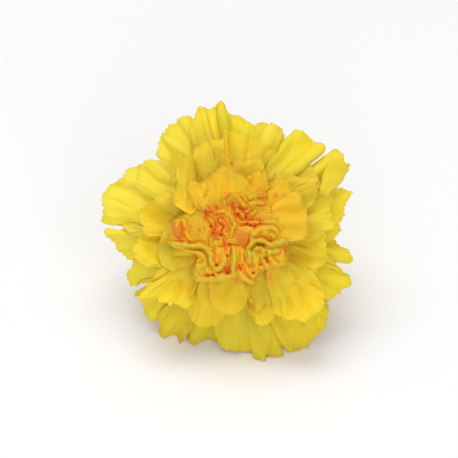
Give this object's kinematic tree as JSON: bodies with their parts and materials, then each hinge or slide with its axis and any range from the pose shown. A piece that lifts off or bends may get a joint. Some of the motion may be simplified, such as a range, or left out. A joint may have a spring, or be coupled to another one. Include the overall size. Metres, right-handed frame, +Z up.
{
  "type": "carnation flower head",
  "caption": "Fully open double carnation bloom with ruffled, toothed yellow petals, a green toothed calyx, bracts and a cut stem stub, lying on its rim.",
  "frame": {"origin": "middle of the underside of the box round the head, on the table that it lies on", "axes": "+Z up, the face of the bloom looks towards -Y and up, +X to the right of someone who looks at the face"},
  "size_m": [0.0758, 0.0606, 0.0649],
  "materials": {
    "petal": "matte",
    "calyx": "satin",
    "bract": "satin",
    "stem": "satin"
  },
  "bodies": {
    "root": {"petals": "petal", "calyx": "calyx", "inner_bracts": "bract", "outer_bracts": "bract", "stem": "stem"}
  },
  "joints": []
}
